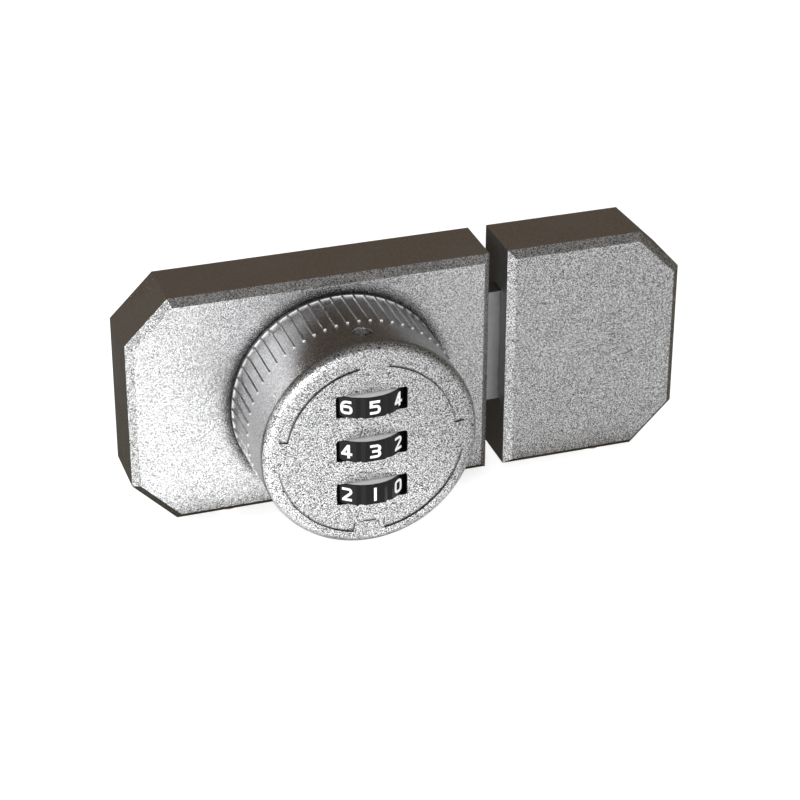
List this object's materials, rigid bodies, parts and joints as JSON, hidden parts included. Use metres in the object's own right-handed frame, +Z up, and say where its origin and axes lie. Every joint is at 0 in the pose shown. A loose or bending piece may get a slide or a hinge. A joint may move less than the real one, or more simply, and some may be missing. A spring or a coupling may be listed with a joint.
{
  "type": "combination cabinet lock",
  "caption": "Surface mounted combination lock for a pair of cabinet doors, with number wheels in a turning knob that draws a bolt out of its keeper.",
  "frame": {"origin": "where the knob's axis meets the plane of the door, which the case lies on", "axes": "+X to the right toward the keeper, +Z up, and the front with the knob faces -Y"},
  "size_m": [0.1184, 0.0395, 0.0517],
  "materials": {
    "satin_zinc": "speckled satin silver on die cast zinc",
    "satin_zinc_knob": "speckled satin silver on die cast zinc",
    "zinc_plated_steel": "zinc plated steel",
    "pale_screw": "pale plated steel",
    "grey_bolt": "smooth grey steel",
    "spring_steel": "spring steel",
    "brass": "turned brass",
    "dark_plastic": "moulded plastic",
    "black_wheel": "gloss black moulding with white digits"
  },
  "bodies": {
    "root": {"case_cover": "satin_zinc", "case_base_plate": "zinc_plated_steel", "case_screws": "pale_screw", "keeper_cover": "satin_zinc", "keeper_base_plate": "zinc_plated_steel", "keeper_screw": "pale_screw", "bolt_retainer": "zinc_plated_steel", "retainer_screws": "zinc_plated_steel", "spindle_bush": "brass"},
    "bolt": {"bolt": "grey_bolt"},
    "knob": {"knob_shell": "satin_zinc_knob", "wheel_carrier": "dark_plastic", "carrier_screws": "zinc_plated_steel", "wheel_axle": "zinc_plated_steel", "drive_spindle": "zinc_plated_steel", "spindle_screws": "zinc_plated_steel", "spindle_washer": "zinc_plated_steel", "spindle_clip": "spring_steel", "drive_pinion": "zinc_plated_steel", "fence_bar": "zinc_plated_steel", "fence_spring": "spring_steel", "detent_spring": "spring_steel", "detent_rivet": "zinc_plated_steel", "reset_spring": "spring_steel"},
    "wheel_top": {"number_wheel_top": "black_wheel", "code_sleeve_top": "brass"},
    "wheel_middle": {"number_wheel_middle": "black_wheel", "code_sleeve_middle": "brass"},
    "wheel_bottom": {"number_wheel_bottom": "black_wheel", "code_sleeve_bottom": "brass"},
    "reset": {"reset_button": "satin_zinc_knob"}
  },
  "joints": [
    {"name": "knob_turn", "type": "hinge", "parent": "root", "child": "knob", "pos_m": [0, 0, 0], "axis": [0, 1, 0], "range_deg": [0, 90]},
    {"name": "bolt_slide", "type": "slide", "parent": "root", "child": "bolt", "axis": [-1, 0, 0], "range_m": [0, 0.011]},
    {"name": "wheel_top_turn", "type": "hinge", "parent": "knob", "child": "wheel_top", "pos_m": [0, -0.0305, 0.0098], "axis": [0, 0, 1], "continuous": true},
    {"name": "wheel_middle_turn", "type": "hinge", "parent": "knob", "child": "wheel_middle", "pos_m": [0, -0.0305, 0], "axis": [0, 0, 1], "continuous": true},
    {"name": "wheel_bottom_turn", "type": "hinge", "parent": "knob", "child": "wheel_bottom", "pos_m": [0, -0.0305, -0.0098], "axis": [0, 0, 1], "continuous": true},
    {"name": "reset_press", "type": "slide", "parent": "knob", "child": "reset", "axis": [0, 0, -1], "range_m": [0, 0.0015], "stiffness_N_per_m": 200, "deforming": ["reset_spring"]}
  ],
  "couplings": [
    {"joint": "bolt_slide", "follows": "knob_turn", "m_per_rad": 0.007}
  ]
}
